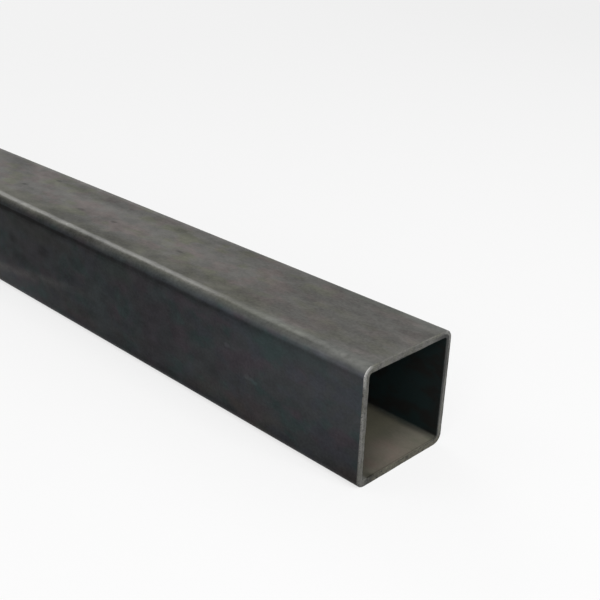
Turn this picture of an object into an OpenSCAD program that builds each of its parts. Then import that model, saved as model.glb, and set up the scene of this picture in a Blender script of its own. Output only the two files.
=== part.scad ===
// Square metal tube: a length of cold-formed, seam-welded square hollow section.
// X runs along the tube, Z is up, and the origin is under the middle of its length,
// on the face that it lies on.

/* [Section] */
// Outside width and height of the square section
side = 50; // [45:1:100]
// Wall thickness
wall = 3; // [2:0.5:4]
// Outside radius of the four rolled corners
corner_r = 4.2; // [4.2:0.1:7.5]

/* [Length] */
// Length of the piece of stock
tube_len = 1000; // [200:10:3000]

/* [Weld seam] */
// How far the seam lies below the middle of the front wall
seam_drop = 12; // [0:1:12]
// Width of the weld bead left inside the tube
bead_w = 3; // [2:0.5:5]
// Height of that bead above the inside face of the wall
bead_h = 0.5; // [0.2:0.1:0.8]

/* [Sawn ends] */
// Bevel that deburring leaves round the outer edge of each end
bevel_out = 0.3; // [0.1:0.05:1]
// Bevel that deburring leaves round the inner edge of each end
bevel_in = 0.2; // [0.1:0.05:0.8]

/* [Hidden] */

$fn = 96;

// Steel under a thin dark rolling skin
skin_colour = [0.36, 0.37, 0.38];
// How far the bead reaches into the wall, so that the two are one solid
bead_root = wall / 2;

// The square bore and the radius of its corners, where the wall bends round unthinned
bore = side - 2 * wall;
bore_r = corner_r - wall;
// Radius of the circle that is bead_w wide where it stands bead_h out of the wall
bead_r = (bead_w * bead_w / 4 + bead_h * bead_h) / (2 * bead_h);

// A round edge that runs along the bar, with a cone at each end that ends end_r wide
module corner_rod(len, r, end_r, cone)
{
    rotate([0, 90, 0])
    {
        cylinder(h = len - 2 * cone, r = r, center = true);
        translate([0, 0, len / 2 - cone])
            cylinder(h = cone, r1 = r, r2 = end_r);
        translate([0, 0, -len / 2])
            cylinder(h = cone, r1 = end_r, r2 = r);
    }
}

// A slab as wide as the flat between the round edges, with its ends cut to the same slope
module slab(len, width, r, end_step, cone)
{
    half = width / 2;
    rotate([90, 0, 0])
        linear_extrude(height = width - 2 * r, center = true)
            polygon([
                [-len / 2, -half - end_step],
                [-len / 2 + cone, -half],
                [len / 2 - cone, -half],
                [len / 2, -half - end_step],
                [len / 2, half + end_step],
                [len / 2 - cone, half],
                [-len / 2 + cone, half],
                [-len / 2, half + end_step]
            ]);
}

// A square bar with round edges, centred, whose last stretch at each end steps by end_step:
// inwards where that is negative, as on a bevelled bar, and outwards as on a flared bore
module round_edged_bar(len, width, r, end_step)
{
    cone = abs(end_step);
    edge = width / 2 - r;
    slab(len, width, r, end_step, cone);
    rotate([90, 0, 0])
        slab(len, width, r, end_step, cone);
    for (y = [-edge, edge], z = [-edge, edge])
        translate([0, y, z])
            corner_rod(len, r, r + end_step, cone);
}

// The low round bead that the seam weld leaves on the inside face of the front wall.
// It ends where the bevel of the bore begins
module weld_bead()
{
    len = tube_len - 2 * bevel_in;
    top = bore / 2 - bead_h;
    intersection()
    {
        translate([0, -top - bead_r, side / 2 - seam_drop])
            rotate([0, 90, 0])
                cylinder(h = len, r = bead_r, center = true);
        translate([-len / 2, -top - bead_h - bead_root, side / 2 - seam_drop - bead_w])
            cube([len, bead_h + bead_root, 2 * bead_w]);
    }
}

module square_tube()
{
    color(skin_colour)
    {
        difference()
        {
            translate([0, 0, side / 2])
                round_edged_bar(tube_len, side, corner_r, -bevel_out);
            translate([0, 0, side / 2])
                round_edged_bar(tube_len, bore, bore_r, bevel_in);
        }
        weld_bead();
    }
}

square_tube();
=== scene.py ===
"""Looks of a square steel tube: rolled skin, deburred sawn ends, weld seam and a dusty bore."""

import math

import bpy
import numpy as np
from mathutils import Matrix, Vector


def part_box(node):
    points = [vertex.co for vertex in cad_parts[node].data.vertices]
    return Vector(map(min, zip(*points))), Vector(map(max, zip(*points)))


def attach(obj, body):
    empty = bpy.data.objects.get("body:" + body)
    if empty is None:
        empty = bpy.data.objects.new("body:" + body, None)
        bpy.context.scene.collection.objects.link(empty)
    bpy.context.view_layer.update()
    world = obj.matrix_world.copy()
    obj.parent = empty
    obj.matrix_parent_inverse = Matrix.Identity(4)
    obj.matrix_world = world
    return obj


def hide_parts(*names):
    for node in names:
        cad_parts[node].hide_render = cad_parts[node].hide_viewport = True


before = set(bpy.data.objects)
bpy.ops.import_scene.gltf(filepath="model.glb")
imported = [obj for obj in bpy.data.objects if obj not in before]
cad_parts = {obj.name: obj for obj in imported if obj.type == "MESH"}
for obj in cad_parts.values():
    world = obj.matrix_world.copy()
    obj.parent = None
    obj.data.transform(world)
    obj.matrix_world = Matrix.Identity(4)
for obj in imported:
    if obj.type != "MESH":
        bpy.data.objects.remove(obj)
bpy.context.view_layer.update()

MM = 0.001

# Section of the tube, as in the solid, in metres
WALL = 3 * MM
CORNER_R = 4.2 * MM
BEVEL_OUT = 0.3 * MM
BEVEL_IN = 0.2 * MM
SEAM_DROP = 12 * MM
BEAD_W = 3 * MM
BEAD_H = 0.5 * MM

low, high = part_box("square_tube")
LENGTH = high.x - low.x
SIDE = high.z - low.z
MIDDLE = (low + high) / 2

# Camera of the photograph, fitted to the tube's edges: metres and degrees
FRAME_PX = 600
FOCAL_PX = 946.7
SENSOR_MM = 36.0
CAMERA_AT = Vector((0.6821, -0.24695, 0.2017))
CAMERA_AZIMUTH = 43.96
CAMERA_DOWN = 23.89
CAMERA_ROLL = 2.17


def make_camera():
    """The photograph's view: azimuth 0 looks along +Y, down is the angle below the horizon."""
    azimuth, down, roll = (math.radians(a) for a in (CAMERA_AZIMUTH, CAMERA_DOWN, CAMERA_ROLL))
    forward = Vector((-math.sin(azimuth) * math.cos(down),
                      math.cos(azimuth) * math.cos(down),
                      -math.sin(down)))
    level_right = Vector((math.cos(azimuth), math.sin(azimuth), 0))
    level_up = level_right.cross(forward)
    right = math.cos(roll) * level_right + math.sin(roll) * level_up
    up = right.cross(forward)
    data = bpy.data.cameras.new("camera")
    data.sensor_width = SENSOR_MM
    data.lens = SENSOR_MM * FOCAL_PX / FRAME_PX
    data.clip_start, data.clip_end = 0.01, 100
    camera = bpy.data.objects.new("camera", data)
    turn = Matrix((right, up, -forward)).transposed().to_4x4()
    camera.matrix_world = Matrix.Translation(CAMERA_AT) @ turn
    bpy.context.scene.collection.objects.link(camera)
    bpy.context.scene.camera = camera


# Mesh of the tube: rings of points round the section, close together at the ends

FLAT_STEP = 1.6 * MM
CORNER_STEPS = 12
SUPPORT = 0.15 * MM
SEAM_REACH = 1.2 * BEAD_W
SEAM_POINTS = 25
BEVEL_RINGS = 7
FIRST_GAP = 0.15 * MM
LAST_GAP = 4.5 * MM
GAP_GROWTH = 1.18
SAWN_RINGS = 5

# The part of the outer bevel that is still sawn and not rolled
SAWN_SHARE = 0.6

# Dish of the flats, with the distance from an end at which it is full, and the same for the bead
DISH = 0.05 * MM
DISH_FULL_AT = 10 * MM
BEAD_FULL_AT = 0.4 * MM

# Unevenness of the flats, the bevels and the bead: how many waves, the longest and the shortest
SEED = 11
SWAY = (14, 90 * MM, 25 * MM)
BEVEL_NOISE = (12, 20 * MM, 3 * MM)
BEAD_NOISE = (12, 6 * MM, 1.5 * MM)
# Shift along the noise that makes the two bevels differ, in metres
OTHER_BEVEL = 7
# Mean of the outer bevel and how much the noise changes each, as shares of their sizes
OUTER_MEAN = 0.85
OUTER_SWING = 0.22
INNER_SWING = 0.4
INNER_MOST = 1.6
BEAD_SWING = 0.18
# How fast the dish fades where the section turns round a corner
CORNER_FADE = 8

# Materials of the mesh, in the order in which it gets them
SKIN, SAWN, BORE = range(3)


def flat_positions(half_flat, fine_at=None):
    """Places along a flat, with a support point beside each corner and finer steps over the seam."""
    steps = max(2, round(2 * (half_flat - SUPPORT) / FLAT_STEP))
    places = list(np.linspace(-half_flat + SUPPORT, half_flat - SUPPORT, steps + 1))
    if fine_at is not None:
        places = [p for p in places if abs(p - fine_at) > SEAM_REACH]
        places += list(fine_at + np.linspace(-SEAM_REACH, SEAM_REACH, SEAM_POINTS))
    return sorted(places + [-half_flat, half_flat])


def section_loop():
    """Points round the outside of the section, their outward normals and the length so far."""
    half, centre = SIDE / 2, SIDE / 2 - CORNER_R
    points, normals = [], []
    for quarter in range(4):
        turn = quarter * math.pi / 2
        out = np.array([math.cos(turn), math.sin(turn)])
        along = np.array([-math.sin(turn), math.cos(turn)])
        for place in flat_positions(centre, SEAM_DROP if quarter == 2 else None):
            points.append(out * half + along * place)
            normals.append(out)
        for k in range(1, CORNER_STEPS):
            angle = turn + k / CORNER_STEPS * math.pi / 2
            normal = np.array([math.cos(angle), math.sin(angle)])
            points.append((out + along) * centre + normal * CORNER_R)
            normals.append(normal)
    points, normals = np.array(points), np.array(normals)
    gaps = np.linalg.norm(np.diff(points, axis=0), axis=1)
    return points, normals, np.concatenate([[0], np.cumsum(gaps)])


def end_distances():
    """Distances from an end to its rings of points, close together at the bevel and then wider."""
    places = list(BEVEL_OUT * (1 - np.cos(np.linspace(0, math.pi / 2, BEVEL_RINGS))))
    gap = FIRST_GAP
    while places[-1] < LENGTH / 2:
        places.append(places[-1] + gap)
        gap = min(gap * GAP_GROWTH, LAST_GAP)
    places[-1] = LENGTH / 2
    return np.array(places)


def rounded(distance, size):
    """How far a rounded edge of that size stands back at a distance from the end."""
    back = np.clip(size - distance, 0, size)
    return size - np.sqrt(np.maximum(size * size - back * back, 0))


def ripple(rng, count, longest, shortest):
    """A smooth random function of x and the length round the section: a sum of plane waves."""
    steepness = 2 * math.pi / np.exp(rng.uniform(math.log(shortest), math.log(longest), count))
    heading = rng.uniform(0, 2 * math.pi, count)
    phases = rng.uniform(0, 2 * math.pi, count)
    waves = list(zip(steepness * np.cos(heading), steepness * np.sin(heading), phases))

    def value(x, length):
        height = sum(np.sin(by_x * x + by_length * length + phase) for by_x, by_length, phase in waves)
        return height / math.sqrt(count)

    return value


def bead_heights(points, normals):
    """Height of the seam's bead at each point round the section, on the wall that has it."""
    off_seam = points[:, 1] + SEAM_DROP
    radius = (BEAD_W ** 2 / 4 + BEAD_H ** 2) / (2 * BEAD_H)
    height = np.sqrt(np.maximum(radius ** 2 - off_seam ** 2, 0)) - (radius - BEAD_H)
    on_wall = normals[:, 0] < -0.999
    return np.where(on_wall & (np.abs(off_seam) < BEAD_W / 2), height, 0)


class Section:
    """The tube's section, and the rings that the outside and the bore make of it."""

    def __init__(self):
        self.points, self.normals, self.lengths = section_loop()
        self.flatness = np.clip(1 - np.abs(self.normals).min(axis=1) * CORNER_FADE, 0, 1)
        self.bead = bead_heights(self.points, self.normals)
        rng = np.random.default_rng(SEED)
        self.sway, self.bevel_noise, self.bead_noise = (
            ripple(rng, *waves) for waves in (SWAY, BEVEL_NOISE, BEAD_NOISE))

    def ring(self, x, back):
        """The section's points at x, moved inwards."""
        y, z = (self.points - self.normals * back[:, None]).T
        return np.column_stack([np.full(len(y), x), y + MIDDLE.y, z + MIDDLE.z])

    def outside(self, x, depth):
        """A ring of the outside: bevelled near an end, with its flats a little dished."""
        bevel = BEVEL_OUT * (OUTER_MEAN + OUTER_SWING * self.bevel_noise(x, self.lengths))
        dish = DISH * (0.5 + 0.5 * self.sway(x, self.lengths))
        dish = dish * self.flatness * min(1, depth / DISH_FULL_AT)
        return self.ring(x, rounded(depth, bevel) + np.maximum(dish, 0))

    def bore(self, x, depth):
        """A ring of the bore: bevelled near an end, with the seam's uneven bead."""
        bevel = BEVEL_IN * (1 + INNER_SWING * self.bevel_noise(x + OTHER_BEVEL, self.lengths))
        bead = self.bead * (1 + BEAD_SWING * self.bead_noise(x, self.lengths))
        back = WALL - rounded(depth, bevel) + bead * min(1, depth / BEAD_FULL_AT)
        return self.ring(x, np.clip(back, WALL - INNER_MOST * BEVEL_IN, None))


class Net:
    """Points and faces of a mesh that is made of rings with as many points each."""

    def __init__(self, count):
        self.count = count
        self.points, self.faces, self.kinds = [], [], []

    def ring(self, points):
        """Adds a ring and returns the number of its first point."""
        start = len(self.points)
        self.points.extend(map(tuple, points))
        return start

    def strip(self, first, second, kind, flip):
        """Joins two rings with faces of one material."""
        for i in range(self.count):
            j = (i + 1) % self.count
            face = (first + i, first + j, second + j, second + i)
            self.faces.append(face[::-1] if flip else face)
            self.kinds.append(kind)

    def sawn_face(self, outer, inner, flip):
        """Joins the outside's last ring to the bore's, with a few rings between."""
        first, last = (np.array(self.points[start:start + self.count]) for start in (outer, inner))
        previous = outer
        for k in range(1, SAWN_RINGS):
            start = self.ring(first + (last - first) * k / SAWN_RINGS)
            self.strip(previous, start, SAWN, flip)
            previous = start
        self.strip(previous, inner, SAWN, flip)

    def mesh(self, name):
        mesh = bpy.data.meshes.new(name)
        mesh.from_pydata(self.points, [], self.faces)
        mesh.polygons.foreach_set("material_index", self.kinds)
        mesh.polygons.foreach_set("use_smooth", [True] * len(self.faces))
        mesh.update()
        return mesh


def tube_mesh():
    section = Section()
    ends = end_distances()
    places = np.concatenate([-LENGTH / 2 + ends, (LENGTH / 2 - ends[:-1])[::-1]])
    depths = LENGTH / 2 - np.abs(places)
    net = Net(len(section.points))
    outer = [net.ring(section.outside(x, depth)) for x, depth in zip(places, depths)]
    inner = [net.ring(section.bore(x, depth)) for x, depth in zip(places, depths)]
    for k in range(len(places) - 1):
        sawn = min(depths[k], depths[k + 1]) < BEVEL_OUT * SAWN_SHARE
        net.strip(outer[k], outer[k + 1], SAWN if sawn else SKIN, True)
        net.strip(inner[k], inner[k + 1], BORE, False)
    net.sawn_face(outer[0], inner[0], False)
    net.sawn_face(outer[-1], inner[-1], True)
    return net.mesh("tube_body")


# Building blocks of the materials

class Nodes:
    """A node tree and short ways to add to it. A value is a number, a colour or a socket."""

    def __init__(self, tree):
        self.tree = tree

    def feed(self, socket, value):
        """Links a socket to another one, or sets it."""
        if isinstance(value, bpy.types.NodeSocket):
            self.tree.links.new(value, socket)
        else:
            socket.default_value = value

    def put(self, kind, inputs=None, **settings):
        node = self.tree.nodes.new(kind)
        for key, value in settings.items():
            setattr(node, key, value)
        for key, value in (inputs or {}).items():
            self.feed(node.inputs[key], value)
        return node

    def maths(self, operation, *values):
        return self.put("ShaderNodeMath", dict(enumerate(values)), operation=operation).outputs[0]

    def chain(self, operation, values):
        result = values[0]
        for value in values[1:]:
            result = self.maths(operation, result, value)
        return result

    def total(self, *values):
        return self.chain("ADD", values)

    def product(self, *values):
        return self.chain("MULTIPLY", values)

    def most(self, *values):
        return self.chain("MAXIMUM", values)

    def least(self, *values):
        return self.chain("MINIMUM", values)

    def minus(self, first, second):
        return self.maths("SUBTRACT", first, second)

    def absolute(self, value):
        return self.maths("ABSOLUTE", value)

    def swing(self, noise, *factors):
        """A change round 0 made of noise round 0.5."""
        return self.product(self.minus(noise, 0.5), *factors)

    def step(self, value, start, end, low_value=0.0, high_value=1.0):
        """A smooth step from low_value, where the value is at start, to high_value at end."""
        inputs = {"Value": value, "From Min": start, "From Max": end,
                  "To Min": low_value, "To Max": high_value}
        return self.put("ShaderNodeMapRange", inputs, interpolation_type="SMOOTHSTEP").outputs["Result"]

    def profile(self, value, stops):
        """A value that runs through (place, height) stops."""
        first, last = stops[0][0], stops[-1][0]
        share = self.put("ShaderNodeMapRange", {"Value": value, "From Min": first, "From Max": last})
        ramp = self.put("ShaderNodeValToRGB", {"Fac": share.outputs["Result"]})
        elements = ramp.color_ramp.elements
        ramp.color_ramp.interpolation = "EASE"
        while len(elements) < len(stops):
            elements.new(0.5)
        for element, (place, height) in zip(elements, stops):
            element.position = (place - first) / (last - first)
            element.color = (height, height, height, 1)
        return ramp.outputs["Color"]

    def blend(self, share, first, second):
        """A colour that goes from the first to the second."""
        node = self.put("ShaderNodeMix", data_type="RGBA")
        colours = [socket for socket in node.inputs if socket.type == "RGBA"]
        for socket, value in zip([node.inputs[0]] + colours, (share, first, second)):
            self.feed(socket, (*value, 1) if isinstance(value, tuple) else value)
        return [socket for socket in node.outputs if socket.type == "RGBA"][0]

    def vector(self, operation, inputs, output="Vector"):
        return self.put("ShaderNodeVectorMath", inputs, operation=operation).outputs[output]

    def scaled(self, vector, amount):
        """A vector times a number, or a colour made lighter or darker."""
        return self.vector("SCALE", {0: vector, "Scale": amount})

    def length_of(self, vector):
        return self.vector("LENGTH", {0: vector}, "Value")

    def shows_background(self):
        """1 for the rays in which the background is seen: straight, mirrored or through glass."""
        path = self.put("ShaderNodeLightPath")
        return self.most(*(path.outputs[f"Is {kind} Ray"] for kind in ("Camera", "Glossy", "Transmission")))


# Sizes for the materials, in millimetres, as all their places and lengths are

HALF_LENGTH_MM = LENGTH / 2 / MM
HALF_SIDE_MM = SIDE / 2 / MM
TOP_MM = 2 * HALF_SIDE_MM
CORNER_MM = CORNER_R / MM
WALL_MM = WALL / MM
ARC_MM = CORNER_MM * math.pi / 2

NOISE_ROUGHNESS = 0.55
BUMP_DEPTH = 0.02 * MM


class Surface(Nodes):
    """Nodes of one of the tube's materials, which start from where on the tube a point is."""

    def __init__(self, name, specular):
        self.material = bpy.data.materials.new(name)
        self.material.use_nodes = True
        super().__init__(self.material.node_tree)
        self.tree.nodes.clear()
        self.shader = self.put("ShaderNodeBsdfPrincipled", {"Specular IOR Level": specular})
        self.put("ShaderNodeOutputMaterial", {"Surface": self.shader.outputs[0]})
        self.place = self.scaled(self.put("ShaderNodeTexCoord").outputs["Object"], 1 / MM)
        split = self.put("ShaderNodeSeparateXYZ", {"Vector": self.place})
        self.x, self.y, self.z = (split.outputs[axis] for axis in "XYZ")
        self.from_end = self.minus(HALF_LENGTH_MM, self.absolute(self.x))
        self.off_y = self.absolute(self.y)
        self.off_z = self.absolute(self.minus(self.z, HALF_SIDE_MM))

    def finish(self, colour, roughness, height, metallic=0.0, depth=BUMP_DEPTH):
        bump = self.put("ShaderNodeBump", {"Height": height, "Distance": depth, "Strength": 1.0})
        for name, value in (("Base Color", colour), ("Roughness", roughness), ("Metallic", metallic),
                            ("Normal", bump.outputs["Normal"])):
            self.feed(self.shader.inputs[name], value)

    def along(self, start, end, low_value=0.0, high_value=1.0):
        """A smooth step by the distance from the nearest end."""
        return self.step(self.from_end, start, end, low_value, high_value)

    def stretch(self, comes, goes):
        """Two such steps multiplied, such as those where something comes and where it goes."""
        return self.product(self.along(*comes), self.along(*goes))

    def cloud(self, size, stretch=1.0, detail=2.0, seed=0.0):
        """Noise round 0.5 in patches of that size, so many times longer along the tube."""
        inputs = {"Vector": self.place, "Location": (seed, seed * 1.7, seed * 0.6),
                  "Scale": (1 / (size * stretch), 1 / size, 1 / size)}
        moved = self.put("ShaderNodeMapping", inputs).outputs["Vector"]
        inputs = {"Vector": moved, "Scale": 1.0, "Detail": detail, "Roughness": NOISE_ROUGHNESS}
        return self.put("ShaderNodeTexNoise", inputs, noise_dimensions="3D").outputs["Fac"]

    def spot(self, centre, size):
        """1 at a centre, falling to 0 at the edge of an ellipsoid with those half sizes."""
        shift = self.vector("SUBTRACT", {0: self.place, 1: centre})
        share = self.length_of(self.vector("DIVIDE", {0: shift, 1: size}))
        return self.step(share, 1.0, 0.25)

    def beyond(self):
        """How far a point is past the ends of the flats, in y and z."""
        centre = HALF_SIDE_MM - CORNER_MM
        return self.minus(self.off_y, centre), self.minus(self.off_z, centre)

    def inside(self):
        """Distance inwards from the outside of the section."""
        beyond_y, beyond_z = self.beyond()
        in_corner = {"X": self.most(beyond_y, 0.0), "Y": self.most(beyond_z, 0.0)}
        from_centre = self.length_of(self.put("ShaderNodeCombineXYZ", in_corner).outputs[0])
        on_flat = self.least(self.most(beyond_y, beyond_z), 0.0)
        return self.minus(CORNER_MM, self.total(from_centre, on_flat))

    def over_skin(self):
        """Length over the skin from the end of the top or bottom flat, less than 0 on that flat."""
        beyond_y, beyond_z = self.beyond()
        angle = self.maths("ARCTAN2", self.most(beyond_y, 0.0), self.most(beyond_z, 0.0))
        before = self.least(beyond_y, 0.0)
        after = self.least(beyond_z, 0.0)
        return self.minus(self.total(self.product(angle, CORNER_MM), before), after)


# Rolled skin of the outside

# Top and side colours: dust on the top and dark scale on the side, their difference partly painted light on
# the top and painted shade on the side
TOP_GREY = (0.110, 0.108, 0.101)
TOP_PINK = (0.121, 0.105, 0.099)
TOP_OLIVE = (0.108, 0.110, 0.083)
TOP_YELLOW = (0.111, 0.110, 0.090)
TOP_COOL = (0.106, 0.113, 0.105)
SIDE_GREY = (0.0276, 0.0294, 0.0312)
SIDE_TEAL = (0.0222, 0.0317, 0.0322)
SIDE_PURPLE = (0.0320, 0.0279, 0.0326)
SIDE_BLUE = (0.0272, 0.0290, 0.0344)
SIDE_BROWN = (0.039, 0.034, 0.030)
SIDE_PALE = (0.0640, 0.0610, 0.0600)
PLUM_TINT = (0.0276, 0.0236, 0.0279)
BLUE_TINT = (0.0286, 0.0357, 0.0373)
ROSE_TINT = (0.0287, 0.0258, 0.0293)
GREEN_TINT = (0.0257, 0.0327, 0.0295)
OLIVE_TINT = (0.0253, 0.0250, 0.0222)
# Bare steel of the rolled corners, bright also as a painted highlight
BRIGHT_STEEL = (0.128, 0.127, 0.116)
GREEN_STEEL = (0.112, 0.130, 0.125)

# Paleness across the top, by y, where the flat is dustier along its middle
TRACK = ((-19.0, 0.0), (-12.0, 0.15), (-6.0, 0.65), (3.0, 1.0), (9.0, 0.8), (14.0, 0.1), (20.0, 0.1))

# Bands round the rolled corner, by length over the skin: the bare steel with its painted highlight, and the
# painted shade line below it
RIDGE = ((-2.1, 0.0), (-0.6, 0.8), (0.2, 0.95), (1.1, 0.95), (2.0, 0.3), (3.6, 0.0))
SHOULDER = ((0.5, 0.0), (2.4, 0.4), (4.2, 0.46), (6.2, 0.0))
DARK_LINE = ((5.4, 0.0), (6.4, 1.0), (7.2, 1.0), (8.3, 0.4), (10.2, 0.0))

# The same for its paler part near the end
PALE_END_LIP = ((-8.0, 0.0), (-4.0, 0.26), (-1.0, 0.26), (0.7, 0.4), (2.2, 0.5), (3.7, 0.52), (5.2, 1.0),
            (6.5, 0.0))
PALE_END_BAND = ((1.0, 0.0), (3.7, 0.36), (4.5, 0.76), (5.2, 0.95), (5.6, 0.85), (6.1, 0.42), (6.7, 0.0))
PALE_END_RIDGE = ((-5.0, 0.0), (-2.0, 0.35), (0.6, 0.8), (1.4, 0.6), (2.6, 0.0))

# The same for painted light and shade
NEAR_RIDGE = ((-2.5, 0.0), (-0.5, 1.0), (1.5, 1.0), (3.0, 0.0))
MID_CORNER = ((1.2, 0.0), (2.2, 1.0), (3.4, 1.0), (4.2, 0.0))
NEAR_SHOULDER = ((2.0, 0.0), (3.0, 1.0), (4.7, 1.0), (6.5, 0.0))
CORNER_FOOT = ((4.0, 0.0), (4.8, 1.0), (6.0, 1.0), (6.8, 0.0))

# Painted light and shade along the rolled corner: band, where it comes and where it goes, and the change
CORNER_LIGHT_TONES = ((NEAR_RIDGE, (104, 120), (156, 142), -0.16),
                (NEAR_RIDGE, (164, 176), (204, 192), 0.15),
                (NEAR_SHOULDER, (66, 88), (134, 116), -0.14),
                (MID_CORNER, (12, 20), (92, 60), -0.27),
                (CORNER_FOOT, (26, 62), (114, 86), 0.17))

# Painted light and shade on the side: the steps in z and in the distance from the end, and the change
SIDE_LIGHT_TONES = (((16, 33), (100, 15), 0.36),
              ((24, 12), (28, 3), -0.22),
              ((15, 3), (190, 120), -0.18),
              ((8, 3), (170, 125), -0.25),
              ((20, 7), (180, 250), 0.65))

# Darker flanks of the top: the steps in y, where each comes and where it goes, and the change
FLANK_TONES = (((-9, -18), (110, 150), (222, 200), -0.26),
               ((8, 14), (60, 80), (250, 225), -0.15))

# Where the top's dust and painted light begin on the rolled corner, by length over the skin
TOP_DUST = (ARC_MM * 0.78, ARC_MM * 0.18)
# Where the upper half begins, for dust, wear and painted light that the lower half doesn't have, by z
UPPER_HALF = (HALF_SIDE_MM - 6, HALF_SIDE_MM + 6)

# Steps of the skin: start, end and, unless these are 0 and 1, the two values. ALONG is by distance
# from the end, ARC by length over the skin, Y and Z by place and PATCH by noise. A SHARE is how much
# of a colour shows, and a CHANGE is what is added to the tone

PINK_PATCH = (0.46, 0.64)
PINK_ALONG = (20, 90, 0.5, 1.0)
OLIVE_PATCH = (0.48, 0.66)
OLIVE_ALONG = (20, 110, 0.4, 1.0)
YELLOW_PATCH = (0.35, 0.55, 0.4, 1.0)
YELLOW_ALONG = (45, 70)
YELLOW_Y = (-9, -16)
TEAL_PATCH = (0.46, 0.64)
PURPLE_PATCH = (0.5, 0.68)
BLUE_PATCH = (0.48, 0.64)
BLUE_SHARE = 0.8
BROWN_PATCH = (0.42, 0.62)
BROWN_Z = (17, 4)
COOL_ARC = (-3.5, -0.5)
COOL_ALONG = (80, 60)
COOL_SHARE = 0.5
GREENISH_ARC = (1.6, 2.8)
GREENISH_ALONG = ((18, 34), (166, 146))

# Masks that place the bare steel and its painted highlight
BARE_Y = (14, 20, 1.0, 0.3)
BARE_Z = (2, 12, 0.2, 1.0)
RIDGE_PATCH = (0.25, 0.7, 0.8, 1.0)
RIDGE_ALONG = ((120, 240, 1.0, 0.85), (55, 102, 0.1, 1.0))
SHOULDER_ALONG = ((230, 90, 0.15, 0.65), (25, 150, 0.25, 1.0))

FINE_CHANGE = 0.75
STREAK_CHANGE = 0.08
BLOTCH_ALONG = (30, 130, 0.85, 1.0)
BROAD_ALONG = (30, 110, 0.25, 1.0)
# Painted light and shade along the side by distance from the end
SIDE_LIGHT_ALONG = (215, 0, -0.2, 0.27)
TOP_ALONG = (110, 200, 0.0, -0.11)
TRACK_ALONG = (55, 130)
TRACK_CHANGE = 0.24
# Painted light on the top along its sawn edge
LIT_SAWN_EDGE_ALONG = (9, 2)
LIT_SAWN_EDGE_Y = ((-16, -8), (8, 3, -0.06, 0.22))
# How dark the painted shade line below the rolled corner gets along the tube
DARK_LINE_ALONG = ((10, 60, 0.18, 0.43), (130, 240, 0.0, 0.5))
# Painted shade on the shoulder far from the end
FAR_SHOULDER_ALONG = (186, 205)
FAR_SHOULDER_CHANGE = -0.15

PALE_END_PATCH = (0.3, 0.65, 0.65, 1.25)
PALE_END_LIP_ALONG = (32, 10)
PALE_END_BAND_ALONG = ((48, 16, 0.22, 1.0), (120, 95))
PALE_END_RIDGE_ALONG = ((10, 34), (78, 46))
PALE_END_RIDGE_Y = (-5, -10)
PALE_END_RIDGE_SHARE = 0.9
PALE_END_CHANGE = 0.9

# Marks that the photograph shows, by their distance from the end

# Pits in the top: distance, y, length and width
PITS = ((203.7, -4.5, 8.0, 3.6),
        (178.2, -2.8, 6.0, 3.4),
        (257.5, -3.7, 7.5, 3.0),
        (251.2, 12.9, 6.5, 2.6),
        (127.2, -3.6, 8.0, 2.6))
# Pale scuffs, dark dents and broad dark smudges on the side: distance, z, length and width
SCUFFS = ((71.2, 32.4, 5.0, 3.2),
          (59.4, 22.9, 4.6, 3.4),
          (57.0, 22.6, 5.0, 2.6),
          (54.8, 21.9, 4.6, 2.6))
DENTS = ((57.8, 24.2, 2.6, 2.6),
         (55.0, 24.2, 2.8, 2.4))
SMUDGES = ((230.0, 21.0, 26.0, 11.0),
           (207.7, 32.0, 18.0, 9.0),
           (185.5, 24.4, 14.0, 8.0),
           (236.0, 30.5, 14.0, 6.0))
# Changes in tone where these marks are
PIT_CHANGE = -0.42
SCUFF_CHANGE = 0.42
DENT_CHANGE = -0.18
SMUDGE_CHANGE = -0.26
# Broad tints of the side: distance, z, length, width and colour
SIDE_TINTS = ((118.0, 24.0, 44.0, 56.0, PLUM_TINT),
              (161.0, 20.0, 32.0, 42.0, BLUE_TINT),
              (216.0, 28.0, 48.0, 24.0, ROSE_TINT),
              (42.0, 43.0, 60.0, 12.0, SIDE_TEAL),
              (146.0, 41.0, 40.0, 14.0, GREEN_TINT),
              (215.0, 41.0, 96.0, 16.0, OLIVE_TINT))
TINT_SHARE = 0.65
# Painted glints and a dark nick on the rolled corner: distance, y, z, width and change in tone
CORNER_GLINTS_AND_NICK = ((12.5, -21.9, 49.9, 3.6, 0.38),
               (11.0, -17.2, 50.0, 6.0, 0.10),
               (5.0, -23.2, 49.3, 5.0, 0.12),
               (23.5, -21.4, 50.0, 5.0, 0.08),
               (0.4, -21.6, 50.0, 2.4, -0.4))
# How far marks reach through the skin, so that they show where it isn't quite flat
MARK_DEPTH = 3
TINT_DEPTH = 4

# Pale band on the side: it climbs towards the end from its furthest place and fades
SWEEP_NEAREST = 150
SWEEP_FURTHEST = 275
SWEEP_Z = 8.1
SWEEP_RISE = 0.125
SWEEP_HALF_WIDTH = 4.2
SWEEP_PATCH = (0.3, 0.7, 0.35, 0.75)

# Roughness of the skin, how much grain changes it and bare steel lowers it, and heights of its bumps
SKIN_ROUGHNESS = 0.44
FINE_ROUGHNESS = 0.25
BARE_ROUGHNESS = -0.06
FINE_HEIGHT = 0.5
STREAK_HEIGHT = 0.25
PIT_HEIGHT = -2.0


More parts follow.
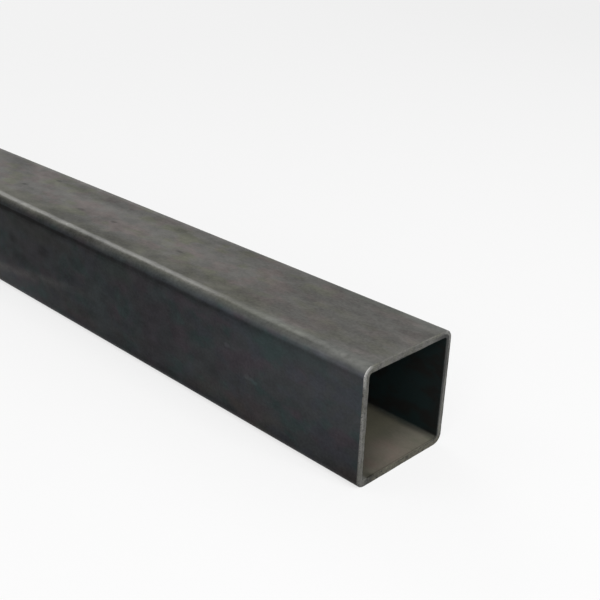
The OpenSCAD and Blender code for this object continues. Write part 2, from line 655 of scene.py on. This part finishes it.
class Skin(Surface):
    """Dark scale on the sides, darker still as painted shade, grey dust on the top, paler also as painted
    light, and bare steel with a painted highlight where the corners rub.
    """

    def __init__(self):
        super().__init__("rolled_skin", specular=0.03)
        self.arc = self.total(self.over_skin(), self.swing(self.cloud(9.0, 3.0, seed=3.1), 1.2))
        self.upper = self.step(self.z, *UPPER_HALF)
        self.on_top = self.product(self.step(self.arc, *TOP_DUST), self.upper)
        self.off_top = self.minus(1.0, self.on_top)
        self.patches = self.cloud(8.5, 1.7, seed=1.3)
        self.patches_2 = self.cloud(11.5, 1.6, seed=7.9)
        self.fine = self.cloud(1.1, 1.2, 3.0, seed=2.2)
        self.streaks = self.cloud(1.3, 34.0, seed=5.5)
        self.pits = self.most(*(
            self.spot((HALF_LENGTH_MM - distance, y, TOP_MM), (length / 2, width / 2, MARK_DEPTH))
            for distance, y, length, width in PITS))

    def side_spot(self, distance, z, length, width, depth=MARK_DEPTH):
        """A spot on the photographed side."""
        return self.spot((HALF_LENGTH_MM - distance, -HALF_SIDE_MM, z), (length / 2, depth, width / 2))

    def side_marks(self, rows):
        return self.most(*(self.side_spot(*row) for row in rows))

    def top_colour(self):
        """Grey dust with pink and olive patches, yellower along the rolled corner, paler also as painted
        light.
        """
        pink = self.product(self.step(self.patches, *PINK_PATCH), self.along(*PINK_ALONG))
        olive = self.product(self.step(self.patches_2, *OLIVE_PATCH), self.along(*OLIVE_ALONG))
        yellow = self.product(self.step(self.y, *YELLOW_Y), self.along(*YELLOW_ALONG),
                              self.step(self.patches, *YELLOW_PATCH))
        colour = self.blend(pink, TOP_GREY, TOP_PINK)
        colour = self.blend(olive, colour, TOP_OLIVE)
        return self.blend(yellow, colour, TOP_YELLOW)

    def side_colour(self):
        """Dark scale in teal, purple and blue patches, darker still as painted shade, browner at its foot,
        and the broad tints.
        """
        blue = self.step(self.cloud(8.0, 1.4, seed=21.0), *BLUE_PATCH)
        brown = self.product(self.step(self.z, *BROWN_Z),
                             self.step(self.cloud(22.0, 2.5, seed=9.4), *BROWN_PATCH))
        colour = self.blend(self.step(self.patches, *TEAL_PATCH), SIDE_GREY, SIDE_TEAL)
        colour = self.blend(self.step(self.patches_2, *PURPLE_PATCH), colour, SIDE_PURPLE)
        colour = self.blend(self.product(blue, BLUE_SHARE), colour, SIDE_BLUE)
        colour = self.blend(brown, colour, SIDE_BROWN)
        for *place, tint in SIDE_TINTS:
            share = self.product(self.side_spot(*place, TINT_DEPTH), TINT_SHARE)
            colour = self.blend(share, colour, tint)
        return colour

    def bare_steel_and_highlight(self):
        """Share of bare steel on the rolled corners, placed and faded as a painted highlight, brightest
        where they meet the top flat.
        """
        ridge = self.product(self.profile(self.arc, RIDGE), self.stretch(*RIDGE_ALONG),
                             self.step(self.cloud(2.8, 4.0, seed=4.4), *RIDGE_PATCH))
        shoulder = self.product(self.profile(self.arc, SHOULDER), self.stretch(*SHOULDER_ALONG))
        return self.product(self.most(ridge, shoulder), self.step(self.z, *BARE_Z),
                            self.step(self.y, *BARE_Y))

    def pale_sweep(self):
        """A soft pale band on the photographed side that climbs towards the +X end."""
        climb = self.total(SWEEP_Z, self.product(self.minus(SWEEP_FURTHEST, self.from_end), SWEEP_RISE))
        off = self.absolute(self.minus(self.z, climb))
        return self.product(self.step(off, SWEEP_HALF_WIDTH, 0.0),
                            self.along(SWEEP_NEAREST, (SWEEP_NEAREST + SWEEP_FURTHEST) / 2),
                            self.step(self.y, 0.0, -1.0), self.step(self.x, 0.0, 1.0),
                            self.step(self.cloud(4.0, 2.5, seed=8.8), *SWEEP_PATCH))

    def colour(self, bare_and_highlight):
        """All colours before the tone: top over side, the cool edge, bare steel with its painted highlight
        and the pale band.
        """
        cool = self.product(self.step(self.arc, *COOL_ARC), self.along(*COOL_ALONG), self.on_top, COOL_SHARE)
        greenish = self.product(self.step(self.arc, *GREENISH_ARC), self.stretch(*GREENISH_ALONG))
        colour = self.blend(self.on_top, self.side_colour(), self.top_colour())
        colour = self.blend(cool, colour, TOP_COOL)
        colour = self.blend(bare_and_highlight, colour, self.blend(greenish, BRIGHT_STEEL, GREEN_STEEL))
        return self.blend(self.pale_sweep(), colour, SIDE_PALE)

    def grain_tone(self):
        broad = self.cloud(15.0, 1.6, 1.0, seed=15.5)
        blotches = self.cloud(5.0, 1.5, 3.0, seed=12.5)
        return self.total(self.swing(self.fine, FINE_CHANGE),
                          self.swing(self.streaks, STREAK_CHANGE),
                          self.swing(blotches, self.along(*BLOTCH_ALONG)),
                          self.swing(broad, self.on_top, self.along(*BROAD_ALONG)))

    def side_light_tone(self):
        # Painted light and shade on the side
        changes = [self.product(self.step(self.z, *heights), self.along(*distances), change)
                   for heights, distances, change in SIDE_LIGHT_TONES]
        return self.product(self.total(self.along(*SIDE_LIGHT_ALONG), *changes), self.off_top)

    def top_tone(self):
        """Pale track along the middle, darker flanks, and a paler line of painted light at the sawn edge."""
        track = self.product(self.profile(self.y, TRACK), self.along(*TRACK_ALONG), TRACK_CHANGE)
        flanks = [self.product(self.step(self.y, *sides), self.stretch(comes, goes), change)
                  for sides, comes, goes, change in FLANK_TONES]
        lit_sawn_edge = self.product(self.along(*LIT_SAWN_EDGE_ALONG),
                                 *(self.step(self.y, *sides) for sides in LIT_SAWN_EDGE_Y))
        return self.product(self.total(track, *flanks, lit_sawn_edge, self.along(*TOP_ALONG)), self.on_top)

    def pale_end(self):
        """Paler part of the rolled corner near the end, turning into the sawn edge."""
        lip = self.product(self.profile(self.arc, PALE_END_LIP), self.along(*PALE_END_LIP_ALONG))
        band = self.product(self.profile(self.arc, PALE_END_BAND), self.stretch(*PALE_END_BAND_ALONG))
        ridge = self.product(self.profile(self.arc, PALE_END_RIDGE), self.stretch(*PALE_END_RIDGE_ALONG),
                             self.step(self.y, *PALE_END_RIDGE_Y), PALE_END_RIDGE_SHARE)
        return self.product(self.most(lip, band, ridge),
                            self.step(self.cloud(2.4, 1.6, seed=6.0), *PALE_END_PATCH))

    def dark_line(self):
        """Painted shade: how dark the line below the rolled corner is, darker further from the end."""
        darkness = self.total(*(self.along(*row) for row in DARK_LINE_ALONG))
        return self.product(self.profile(self.arc, DARK_LINE), darkness)

    def corner_tone(self):
        # Painted light and shade on the rolled corner, its paler end and the painted shade line, on the
        # upper half only
        changes = [self.product(self.profile(self.arc, band), self.stretch(comes, goes), change)
                   for band, comes, goes, change in CORNER_LIGHT_TONES]
        far_shoulder = self.product(self.profile(self.arc, NEAR_SHOULDER), self.along(*FAR_SHOULDER_ALONG),
                                    FAR_SHOULDER_CHANGE)
        pale_end = self.product(self.pale_end(), PALE_END_CHANGE)
        dark_line = self.product(self.dark_line(), -1.0)
        return self.product(self.total(*changes, far_shoulder, pale_end, dark_line), self.upper)

    def mark_tone(self):
        glints_and_nick = [self.product(self.spot((HALF_LENGTH_MM - distance, y, z), (width / 2,) * 3), change)
                for distance, y, z, width, change in CORNER_GLINTS_AND_NICK]
        return self.total(self.product(self.pits, PIT_CHANGE),
                          self.product(self.side_marks(SCUFFS), SCUFF_CHANGE),
                          self.product(self.side_marks(DENTS), DENT_CHANGE),
                          self.product(self.side_marks(SMUDGES), SMUDGE_CHANGE),
                          *glints_and_nick)


def skin_material():
    skin = Skin()
    bare_and_highlight = skin.bare_steel_and_highlight()
    tone = skin.total(1.0, skin.grain_tone(), skin.side_light_tone(), skin.top_tone(), skin.corner_tone(),
                      skin.mark_tone())
    roughness = skin.total(SKIN_ROUGHNESS, skin.swing(skin.fine, FINE_ROUGHNESS),
                           skin.product(bare_and_highlight, BARE_ROUGHNESS))
    height = skin.total(skin.product(skin.fine, FINE_HEIGHT), skin.product(skin.streaks, STREAK_HEIGHT),
                        skin.product(skin.pits, PIT_HEIGHT))
    skin.finish(skin.scaled(skin.colour(bare_and_highlight), tone), roughness, height, bare_and_highlight)
    return skin.material


# Sawn end

SAWN_GREY = (0.083, 0.081, 0.075)
SAWN_OLIVE = (0.075, 0.075, 0.063)
SAWN_DIRT = (0.064, 0.0605, 0.043)
# Painted shade for the inner part of the far upright strip
SAWN_SHADE = (0.022, 0.022, 0.021)
WORN_LIT_LINE = (0.24, 0.24, 0.23)
SAWN_BUMP = 0.03 * MM

# Painted shade in the inner corner at the foot of the end's near wall, and its half sizes
CORNER_SHADE = (HALF_LENGTH_MM, -17.7, WALL_MM - 0.4)
CORNER_SHADE_SIZE = (3.0, 4.4, 3.2)

# How bright the worn outer line of the upright strips is, by height: a painted highlight, brightest at the
# top
LINE_UP = ((4.0, 0.0), (14.0, 0.15), (22.0, 0.25), (30.0, 0.45), (35.0, 0.0), (39.5, 0.05), (43.5, 0.7),
           (46.5, 0.95))

# Steps of the end, as for the skin. DEPTH is by distance inwards from the outside of the section
LOW_STRIP_Y = (-20.5, -15.5)
LOW_STRIP_Z = (WALL_MM + 0.8, WALL_MM - 0.4)
TOP_STRIP_Z = (45.5, 46.8)
TOP_STRIP_CHANGE = 0.03
INNER_HALF_Z = (48.3, 47.2)
INNER_HALF_Y = ((-13, -8), (12, 4))
INNER_HALF_CHANGE = -0.28
LINE_DEPTH = (1.7, 0.9)
LINE_Y = (12, 22, 1.0, 0.5)
# Painted shade on the inner part of the far upright strip, by depth, height and y
FAR_LIP_DEPTH = (1.2, 1.9)
FAR_LIP_LEAN_Z = (8, 36, -0.7, 0.2)
FAR_LIP_Y = (10.0, 21.0)
# Painted shade on the far rim
FAR_RIM_DEPTH = (1.1, 0.5)
FAR_RIM_Y = (21.5, 23.0)
FAR_RIM_CHANGE = -0.5
# Painted highlight along the upper outer edge
LIT_EDGE_DEPTH = (0.8, 0.3)
LIT_EDGE_Z = (44.5, 46.5)
LIT_EDGE_CHANGE = 0.4
NEAR_EDGE_DEPTH = (1.0, 0.2)
NEAR_EDGE_Z = (45.0, 42.0)
NEAR_EDGE_Y = (0.0, -5.0)
NEAR_EDGE_CHANGE = -0.2
# By distance from the middle sideways, less that up or down: where the strips are upright
UPRIGHT = (-5.0, -1.5)

SAWN_PATCH = (0.4, 0.65)
NICK_PATCH = (0.56, 0.68)
NICK_CHANGE = -0.35
GRIME_PATCH = (0.5, 0.66)
GRIME_CHANGE = -0.35
# How much the painted shade in the inner corner darkens the end
CORNER_SHADE_CHANGE = -0.75
GRAIN_CHANGE = 1.3
CLOUD_CHANGE = 0.8
SAW_MARK_CHANGE = 0.12
WANDER_CHANGE = 0.7

# Tilt of the saw marks in degrees, their waves and how high they are beside the grain
SAW_MARK_TILT = 4
SAW_MARK_WAVES = {"Scale": 0.42, "Distortion": 1.6, "Detail": 2.0}
SAW_MARK_HEIGHT = 0.8
# Roughness of the end, and what its worn line adds to it and to its metal
SAWN_ROUGHNESS = 0.5
LINE_ROUGHNESS = -0.12
LINE_METALLIC = 0.5


class SawnFace(Surface):
    """Bare sawn steel with a worn outer line made brighter as painted highlight, dirt on the lower strip,
    painted shade in the inner corner and a far lip painted dark as shade.
    """

    def __init__(self):
        super().__init__("sawn_face", specular=0.2)
        self.depth = self.inside()
        self.wander = self.swing(self.cloud(2.4, seed=4.0))
        self.wandering_depth = self.total(self.depth, self.wander)
        self.low_strip = self.product(self.step(self.z, *LOW_STRIP_Z), self.step(self.y, *LOW_STRIP_Y))
        self.grain = self.cloud(0.7, detail=3.0, seed=1.0)
        self.saw_marks = self.make_saw_marks()
        self.worn_lit_line = self.make_worn_lit_line()

    def make_saw_marks(self):
        tilt = (math.radians(SAW_MARK_TILT), 0, 0)
        turned = self.put("ShaderNodeMapping", {"Vector": self.place, "Rotation": tilt})
        inputs = {"Vector": turned.outputs["Vector"], **SAW_MARK_WAVES}
        return self.put("ShaderNodeTexWave", inputs, wave_type="BANDS", bands_direction="Z").outputs["Fac"]

    def make_worn_lit_line(self):
        """The worn outer line of the two upright strips, made bright by a painted highlight."""
        upright = self.step(self.minus(self.off_y, self.off_z), *UPRIGHT)
        return self.product(self.step(self.wandering_depth, *LINE_DEPTH), upright,
                            self.profile(self.z, LINE_UP), self.step(self.y, *LINE_Y))

    def colour(self):
        patches = self.step(self.cloud(5.0, seed=2.0), *SAWN_PATCH)
        leaning = self.total(self.wandering_depth, self.step(self.z, *FAR_LIP_LEAN_Z))
        far_lip_shade = self.product(self.step(leaning, *FAR_LIP_DEPTH), self.step(self.y, *FAR_LIP_Y))
        colour = self.blend(patches, SAWN_GREY, SAWN_OLIVE)
        colour = self.blend(self.low_strip, colour, SAWN_DIRT)
        colour = self.blend(far_lip_shade, colour, SAWN_SHADE)
        return self.blend(self.worn_lit_line, colour, WORN_LIT_LINE)

    def grain_tone(self):
        nicks = self.step(self.cloud(1.3, detail=1.0, seed=14.0), *NICK_PATCH)
        return self.total(self.swing(self.grain, GRAIN_CHANGE),
                          self.swing(self.cloud(6.5, detail=1.0, seed=9.0), CLOUD_CHANGE),
                          self.swing(self.saw_marks, SAW_MARK_CHANGE),
                          self.product(self.wander, WANDER_CHANGE),
                          self.product(nicks, NICK_CHANGE))

    def top_strip_tone(self):
        """The upper strip is a little paler, and darker along the middle of its inner half."""
        inner_half = self.product(self.step(self.z, *INNER_HALF_Z),
                                  *(self.step(self.y, *sides) for sides in INNER_HALF_Y))
        change = self.total(TOP_STRIP_CHANGE, self.product(inner_half, INNER_HALF_CHANGE))
        return self.product(self.step(self.z, *TOP_STRIP_Z), change)

    def shade_and_grime_tone(self):
        # Painted shade in the inner corner, and grime on the lower strip
        grime = self.step(self.cloud(1.1, detail=1.0, seed=23.0), *GRIME_PATCH)
        return self.total(self.product(self.spot(CORNER_SHADE, CORNER_SHADE_SIZE), CORNER_SHADE_CHANGE),
                          self.product(self.low_strip, grime, GRIME_CHANGE))

    def edge_tone(self):
        """Painted highlight on the upper edge, a darker near edge and painted shade on the far rim."""
        lit_edge = self.product(self.step(self.depth, *LIT_EDGE_DEPTH), self.step(self.z, *LIT_EDGE_Z))
        near_edge = self.product(self.step(self.depth, *NEAR_EDGE_DEPTH), self.step(self.z, *NEAR_EDGE_Z),
                                 self.step(self.y, *NEAR_EDGE_Y))
        far_rim = self.product(self.step(self.wandering_depth, *FAR_RIM_DEPTH),
                               self.step(self.y, *FAR_RIM_Y))
        return self.total(self.product(lit_edge, LIT_EDGE_CHANGE),
                          self.product(near_edge, NEAR_EDGE_CHANGE),
                          self.product(far_rim, FAR_RIM_CHANGE))


def sawn_material():
    sawn = SawnFace()
    tone = sawn.total(1.0, sawn.grain_tone(), sawn.top_strip_tone(), sawn.shade_and_grime_tone(), sawn.edge_tone())
    roughness = sawn.total(SAWN_ROUGHNESS, sawn.product(sawn.worn_lit_line, LINE_ROUGHNESS))
    height = sawn.total(sawn.grain, sawn.product(sawn.saw_marks, SAW_MARK_HEIGHT))
    metallic = sawn.product(sawn.worn_lit_line, LINE_METALLIC)
    sawn.finish(sawn.scaled(sawn.colour(), tone), roughness, height, metallic, SAWN_BUMP)
    return sawn.material


# Bore: near-black scale on its walls, dust and a little rust on its floor

BORE_TEAL = (0.015, 0.025, 0.025)
BORE_BLACK = (0.017, 0.017, 0.016)
DUST = (0.188, 0.176, 0.142)
DUST_OLIVE = (0.165, 0.162, 0.126)
DUST_RUST = (0.208, 0.170, 0.143)
DUST_DEEP = (0.176, 0.168, 0.122)
# Burr at the near wall's foot, pale as a painted highlight
BURR_HIGHLIGHT_GREY = (0.150, 0.150, 0.137)

# Centre and half sizes of the rusty patches on the floor, and of the burr at the near wall's foot, pale as a
# painted highlight
RUST_PATCHES = (((HALF_LENGTH_MM - 7, 1, WALL_MM), (12, 14, 5)),
                ((HALF_LENGTH_MM - 5, -10, WALL_MM), (7, 6, 5)))
BURR_HIGHLIGHT = ((HALF_LENGTH_MM - 1.3, -20.8, WALL_MM), (3.4, 2.2, 2.0))
# Half sizes of the painted shade in the inner corner, on the floor
BORE_CORNER_SHADE_SIZE = (4.2, 3.2, 2.6)

# Brightness of the dust as painted light and shade by depth, a sum of steps by distance from the end: start,
# end and the two values
DUST_SHADE_STEPS = ((2, 18, 0.95, 0.52),
              (18, 27, 0.0, -0.09),
              (26, 60, 0.0, 0.5),
              (0.9, 0.1, 0.0, -0.38))

# Steps of the bore, as for the skin
# Painted light and shade on the walls by distance from the end
WALL_SHADE_ALONG = (15, 70, 0.7, 1.3)
DEEP_ALONG = (10, 22, 0.0, 0.85)
SHADY_SIDE_Y = (3, -17, 1.0)
SHADY_SIDE_ALONG = (1, 6, 0.68, 0.52)
# Height of the dust's edge on the walls, how softly it ends there, and where it thins sideways
DUST_EDGE = WALL_MM + 0.7
DUST_SOFTNESS = (0.5, -0.5)
DUST_FOOT = (22.5, 18.0, 0.25, 1.0)
# How far noise moves the two, in millimetres
EDGE_WANDER = 1.2
FOOT_WANDER = 1.5

BORE_TEAL_PATCH = (0.35, 0.6)
DUST_OLIVE_PATCH = (0.45, 0.65)
DUST_RUST_PATCH = (0.4, 0.6, 0.35, 0.85)
# How much the painted corner shade darkens the floor
BORE_CORNER_SHADE_CHANGE = -0.35
BORE_GRAIN_CHANGE = 0.3
BORE_ROUGHNESS = 0.6
BORE_GRAIN_ROUGHNESS = 0.2


class Bore(Surface):
    """Near-black scale on the walls and a dusty floor, both with painted light and shade by depth."""

    def __init__(self):
        super().__init__("bore_skin", specular=0.06)
        self.patches = self.cloud(7.0, 1.6, seed=3.0)
        self.patches_2 = self.cloud(10.0, 1.6, seed=8.0)

    def walls(self):
        colour = self.blend(self.step(self.patches, *BORE_TEAL_PATCH), BORE_BLACK, BORE_TEAL)
        # Painted light and shade by depth
        return self.scaled(colour, self.along(*WALL_SHADE_ALONG))

    def dust_tone(self):
        """Brightness of the dust, painted shade: changing with the depth, darker at the very edge, in the
        painted corner shade and near the shady side.
        """
        corner_shade = self.product(self.spot(CORNER_SHADE, BORE_CORNER_SHADE_SIZE), BORE_CORNER_SHADE_CHANGE)
        by_depth = self.total(*(self.along(*row) for row in DUST_SHADE_STEPS), corner_shade)
        by_side = self.step(self.y, *SHADY_SIDE_Y, self.along(*SHADY_SIDE_ALONG))
        return self.product(by_depth, by_side)

    def dust(self):
        rust = self.product(self.most(*(self.spot(*patch) for patch in RUST_PATCHES)),
                            self.step(self.patches_2, *DUST_RUST_PATCH))
        colour = self.blend(self.step(self.patches, *DUST_OLIVE_PATCH), DUST, DUST_OLIVE)
        colour = self.blend(rust, colour, DUST_RUST)
        colour = self.blend(self.along(*DEEP_ALONG), colour, DUST_DEEP)
        return self.scaled(colour, self.dust_tone())

    def on_floor(self):
        """Share of dust: full on the floor, less towards its corners, with an uneven edge."""
        edge = self.total(DUST_EDGE, self.swing(self.patches, EDGE_WANDER))
        foot = self.total(self.off_y, self.swing(self.patches_2, FOOT_WANDER))
        return self.product(self.step(self.minus(self.z, edge), *DUST_SOFTNESS), self.step(foot, *DUST_FOOT))


def bore_material():
    bore = Bore()
    grain = bore.cloud(0.8, 2.0, 3.0, seed=5.0)
    colour = bore.blend(bore.on_floor(), bore.walls(), bore.dust())
    colour = bore.blend(bore.spot(*BURR_HIGHLIGHT), colour, BURR_HIGHLIGHT_GREY)
    colour = bore.scaled(colour, bore.total(1.0, bore.swing(grain, BORE_GRAIN_CHANGE)))
    roughness = bore.total(BORE_ROUGHNESS, bore.swing(grain, BORE_GRAIN_ROUGHNESS))
    bore.finish(colour, roughness, grain)
    return bore.material


# Floor and light

WHITE = (1.0, 1.0, 1.0)
# The floor bounces light as a pale grey and is seen as white
FLOOR_GREY = (0.85, 0.85, 0.85)
FLOOR_GLOW = 0.7
# Distances from the tube's middle between which it turns as white as the world behind it, in metres
FLOOR_FADE = (1.0, 3.5)
FLOOR_REACH = 12.0
FLOOR_SIDES = 48
WORLD = 0.25
AIM = Vector((0.42, 0.0, 0.03))
# Name, azimuth from +X, elevation, distance, width, height, and brightness of a level white surface
LAMPS = (("key", -8, 38, 2.0, 1.3, 1.3, 0.48),
         ("rim", 156, 30, 2.2, 1.1, 0.5, 0.055),
         ("sky", 224, 45, 1.8, 0.7, 0.7, 0.04),
         ("fill", 300, 28, 1.5, 0.8, 0.8, 0.11))


def floor_material():
    """Matte, with a white glow for the rays that see the background, full far from the tube."""
    material = bpy.data.materials.new("pale_floor")
    material.use_nodes = True
    nodes = Nodes(material.node_tree)
    nodes.tree.nodes.clear()
    away = nodes.length_of(nodes.put("ShaderNodeTexCoord").outputs["Object"])
    seen = nodes.shows_background()
    share = nodes.product(seen, nodes.step(away, *FLOOR_FADE, FLOOR_GLOW, 1.0))
    matte = nodes.put("ShaderNodeBsdfDiffuse", {"Color": nodes.blend(seen, FLOOR_GREY, WHITE)})
    glow = nodes.put("ShaderNodeEmission", {"Color": (*WHITE, 1), "Strength": 1})
    both = nodes.put("ShaderNodeMixShader", {0: share, 1: matte.outputs[0], 2: glow.outputs[0]})
    nodes.put("ShaderNodeOutputMaterial", {"Surface": both.outputs[0]})
    return material


def make_floor():
    rim = [(MIDDLE.x + FLOOR_REACH * math.cos(a), MIDDLE.y + FLOOR_REACH * math.sin(a), 0)
           for a in np.linspace(0, 2 * math.pi, FLOOR_SIDES, endpoint=False)]
    faces = [(0, 1 + i, 1 + (i + 1) % FLOOR_SIDES) for i in range(FLOOR_SIDES)]
    mesh = bpy.data.meshes.new("floor")
    mesh.from_pydata([(MIDDLE.x, MIDDLE.y, 0)] + rim, [], faces)
    floor = bpy.data.objects.new("floor", mesh)
    bpy.context.scene.collection.objects.link(floor)
    floor.data.materials.append(floor_material())


def add_lamp(name, azimuth, elevation, distance, width, height, level):
    turn, up = math.radians(azimuth), math.radians(elevation)
    way = Vector((math.cos(turn) * math.cos(up), math.sin(turn) * math.cos(up), math.sin(up)))
    data = bpy.data.lights.new(name, "AREA")
    data.shape = "RECTANGLE"
    data.size, data.size_y = width, height
    data.energy = level * math.pi ** 2 * distance ** 2 / math.sin(up)
    lamp = bpy.data.objects.new(name, data)
    lamp.location = AIM + distance * way
    lamp.rotation_euler = (-way).to_track_quat("-Z", "Y").to_euler()
    bpy.context.scene.collection.objects.link(lamp)


def light():
    world = bpy.data.worlds.new("studio")
    world.use_nodes = True
    nodes = Nodes(world.node_tree)
    background = nodes.tree.nodes["Background"]
    nodes.feed(background.inputs["Color"], (*WHITE, 1))
    nodes.feed(background.inputs["Strength"], nodes.step(nodes.shows_background(), 0.0, 1.0, WORLD, 1.0))
    bpy.context.scene.world = world
    for lamp in LAMPS:
        add_lamp(*lamp)


make_camera()
make_floor()
light()
tube = bpy.data.objects.new("tube_body", tube_mesh())
bpy.context.scene.collection.objects.link(tube)
for material in (skin_material(), sawn_material(), bore_material()):
    tube.data.materials.append(material)
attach(tube, "root")
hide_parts("square_tube")

bpy.context.scene.view_settings.view_transform = "Standard"
